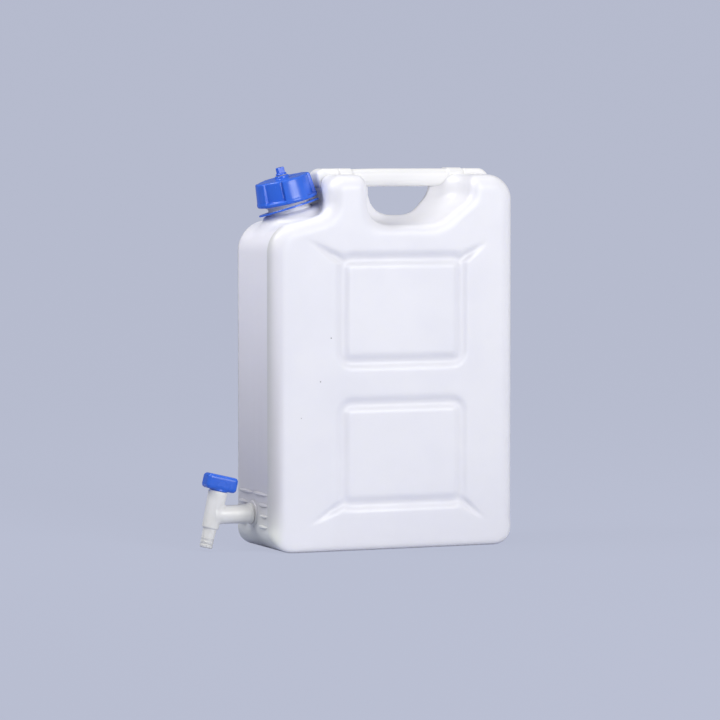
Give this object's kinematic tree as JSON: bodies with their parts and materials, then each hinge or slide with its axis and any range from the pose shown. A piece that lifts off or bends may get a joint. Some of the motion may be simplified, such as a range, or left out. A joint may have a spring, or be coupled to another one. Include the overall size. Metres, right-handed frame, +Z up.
{
  "type": "carboy with spigot",
  "caption": "Flat-sided blown plastic carboy with a moulded carrying handle, a tilted screw-capped neck with a vent screw, and a quarter-turn tap low on one end.",
  "frame": {"origin": "on the floor under the middle of the body's flat base", "axes": "+Z up; +X along the wide faces, from the tap end to the tall end; +Y from the near wide face to the far one"},
  "size_m": [0.431, 0.146, 0.5148],
  "materials": {
    "hdpe_natural": "natural translucent HDPE, satin",
    "cap_blue": "glossy blue moulded plastic",
    "tap_blue": "satin blue moulded plastic",
    "tap_white": "satin creamy white plastic",
    "gasket_grey": "matt foam rubber",
    "seal_black": "matt rubber"
  },
  "bodies": {
    "canister": {"canister": "hdpe_natural", "tap_body": "tap_white", "tap_gasket": "seal_black", "retaining_ring": "cap_blue"},
    "cap_seal": {"cap_gasket": "gasket_grey"},
    "cap": {"screw_cap": "cap_blue"},
    "vent_seal": {"vent_washer": "gasket_grey"},
    "vent": {"vent_screw": "cap_blue"},
    "plug": {"tap_plug": "tap_blue", "plug_o_rings": "seal_black"}
  },
  "joints": [
    {"name": "cap_rise", "type": "slide", "parent": "canister", "child": "cap_seal", "axis": [-0.2419, 0, 0.9703], "range_m": [0, 0.00901]},
    {"name": "cap_turn", "type": "hinge", "parent": "cap_seal", "child": "cap", "pos_m": [-0.1218, 0, 0.44669], "axis": [-0.2419, 0, 0.9703], "range_deg": [0, 540]},
    {"name": "vent_rise", "type": "slide", "parent": "cap", "child": "vent_seal", "axis": [-0.2419, 0, 0.9703], "range_m": [0, 0.0015]},
    {"name": "vent_turn", "type": "hinge", "parent": "vent_seal", "child": "vent", "pos_m": [-0.1218, 0, 0.44669], "axis": [-0.2419, 0, 0.9703], "range_deg": [0, 360]},
    {"name": "tap_turn", "type": "hinge", "parent": "canister", "child": "plug", "pos_m": [-0.235, 0, 0.049], "axis": [0.2334, 0, 0.9724], "range_deg": [0, 90]}
  ],
  "couplings": [
    {"joint": "cap_rise", "follows": "cap_turn", "m_per_rad": 0.00095493},
    {"joint": "vent_turn", "follows": "vent_rise", "rad_per_m": 4188.8}
  ]
}
